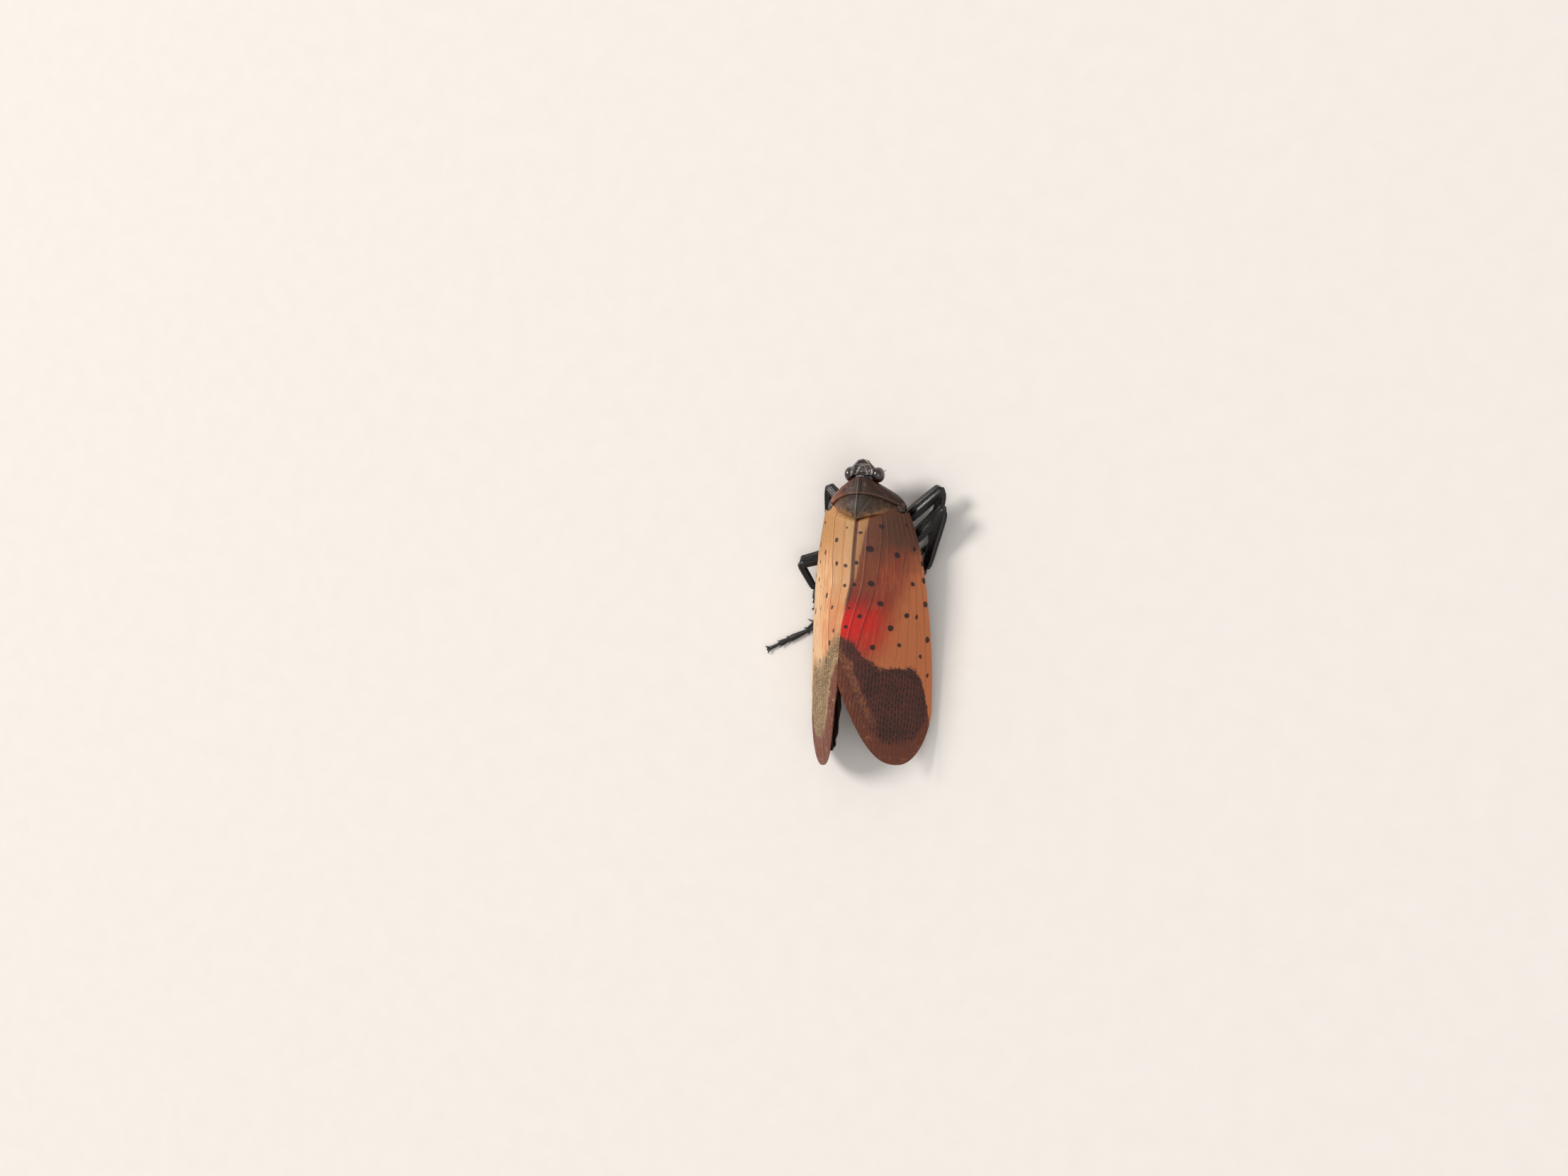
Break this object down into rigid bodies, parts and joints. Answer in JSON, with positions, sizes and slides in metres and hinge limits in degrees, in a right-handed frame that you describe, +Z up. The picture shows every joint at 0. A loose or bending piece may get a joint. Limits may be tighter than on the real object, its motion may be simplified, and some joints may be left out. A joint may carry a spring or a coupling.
{
  "type": "spotted lanternfly",
  "caption": "Planthopper at life size, standing at rest on flat feet: wings folded like a roof over the back, spotted forewings, red hindwings beneath, small dark head and spiny hind legs.",
  "frame": {"origin": "centre of the bounding box's base, on the floor that the feet stand on", "axes": "the head looks along -Y, +X is the insect's left, +Z is up"},
  "size_m": [0.0166, 0.0252, 0.007],
  "materials": {
    "black": "glossy black shell, as on the head and legs",
    "brown": "satin dark brown shell",
    "slate": "satin grey-black shell with orange-brown marks",
    "eye": "glossy dark red-brown",
    "orange": "satin orange",
    "tan": "satin pale tan with dark spots and brown veins",
    "russet": "satin red-brown with dark spots, darker to the tip",
    "red": "satin red with black spots, dark at the tip",
    "yellow": "satin yellow with dark bands"
  },
  "bodies": {
    "root": {"head": "black", "rostrum": "brown", "pronotum": "brown", "mesonotum": "slate", "thorax": "brown", "abdomen": "yellow", "eye_left": "eye", "eye_right": "eye", "antenna_left": "orange", "antenna_right": "orange", "tegula_left": "brown", "tegula_right": "brown", "forewing_left": "tan", "forewing_right": "russet", "hindwing_left": "red", "hindwing_right": "red", "foreleg_left_femur": "black", "foreleg_left_tibia": "black", "foreleg_left_tarsus": "black", "foreleg_right_femur": "black", "foreleg_right_tibia": "black", "foreleg_right_tarsus": "black", "midleg_left_femur": "black", "midleg_left_tibia": "black", "midleg_left_tarsus": "black", "midleg_right_femur": "black", "midleg_right_tibia": "black", "midleg_right_tarsus": "black", "hindleg_left_femur": "black", "hindleg_left_tibia": "black", "hindleg_left_tarsus": "black", "hindleg_right_femur": "black", "hindleg_right_tibia": "black", "hindleg_right_tarsus": "black"}
  },
  "joints": []
}
